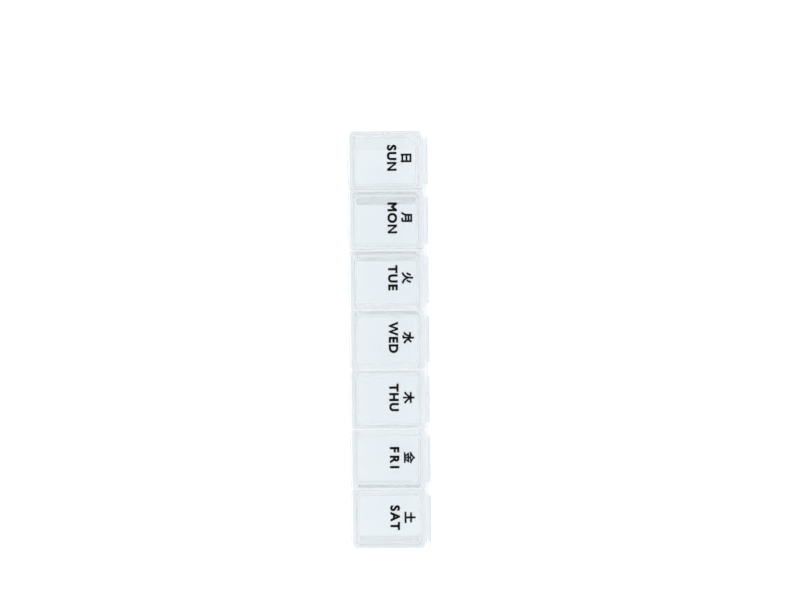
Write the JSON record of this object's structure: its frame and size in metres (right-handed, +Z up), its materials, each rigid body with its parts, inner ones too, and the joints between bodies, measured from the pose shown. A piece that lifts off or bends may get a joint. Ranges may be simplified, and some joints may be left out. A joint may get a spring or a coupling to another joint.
{
  "type": "weekly pill box",
  "caption": "Long see-through pill organiser: a row of small compartments, each closed by its own flip lid on a folded hinge strap, for sorting a week of tablets.",
  "frame": {"origin": "centre of the flat underside of the tray", "axes": "+Z up out of the compartments, +X along the row towards the last day, +Y towards the hinges"},
  "size_m": [0.1498, 0.0288, 0.02],
  "materials": {
    "tray_plastic": "pale blue see-through polypropylene, faintly hazy, moulded gloss",
    "lid_plastic": "pale blue see-through polypropylene, faintly hazy, printed day marks",
    "hinge_plastic": "thin polypropylene, stress whitened along the fold"
  },
  "bodies": {
    "tray": {"tray": "tray_plastic", "hinge_strap_sun": "hinge_plastic", "hinge_strap_mon": "hinge_plastic", "hinge_strap_tue": "hinge_plastic", "hinge_strap_wed": "hinge_plastic", "hinge_strap_thu": "hinge_plastic", "hinge_strap_fri": "hinge_plastic", "hinge_strap_sat": "hinge_plastic"},
    "lid_sun": {"lid_sun": "lid_plastic"},
    "lid_mon": {"lid_mon": "lid_plastic"},
    "lid_tue": {"lid_tue": "lid_plastic"},
    "lid_wed": {"lid_wed": "lid_plastic"},
    "lid_thu": {"lid_thu": "lid_plastic"},
    "lid_fri": {"lid_fri": "lid_plastic"},
    "lid_sat": {"lid_sat": "lid_plastic"}
  },
  "joints": [
    {"name": "lid_sun_hinge", "type": "hinge", "parent": "tray", "child": "lid_sun", "pos_m": [-0.0642, 0.0149, 0.01875], "axis": [-1, 0, 0], "range_deg": [0, 175], "deforming": ["hinge_strap_sun"]},
    {"name": "lid_mon_hinge", "type": "hinge", "parent": "tray", "child": "lid_mon", "pos_m": [-0.0428, 0.0149, 0.01875], "axis": [-1, 0, 0], "range_deg": [0, 175], "deforming": ["hinge_strap_mon"]},
    {"name": "lid_tue_hinge", "type": "hinge", "parent": "tray", "child": "lid_tue", "pos_m": [-0.0214, 0.0149, 0.01875], "axis": [-1, 0, 0], "range_deg": [0, 175], "deforming": ["hinge_strap_tue"]},
    {"name": "lid_wed_hinge", "type": "hinge", "parent": "tray", "child": "lid_wed", "pos_m": [0, 0.0149, 0.01875], "axis": [-1, 0, 0], "range_deg": [0, 175], "deforming": ["hinge_strap_wed"]},
    {"name": "lid_thu_hinge", "type": "hinge", "parent": "tray", "child": "lid_thu", "pos_m": [0.0214, 0.0149, 0.01875], "axis": [-1, 0, 0], "range_deg": [0, 175], "deforming": ["hinge_strap_thu"]},
    {"name": "lid_fri_hinge", "type": "hinge", "parent": "tray", "child": "lid_fri", "pos_m": [0.0428, 0.0149, 0.01875], "axis": [-1, 0, 0], "range_deg": [0, 175], "deforming": ["hinge_strap_fri"]},
    {"name": "lid_sat_hinge", "type": "hinge", "parent": "tray", "child": "lid_sat", "pos_m": [0.0642, 0.0149, 0.01875], "axis": [-1, 0, 0], "range_deg": [0, 175], "deforming": ["hinge_strap_sat"]}
  ]
}
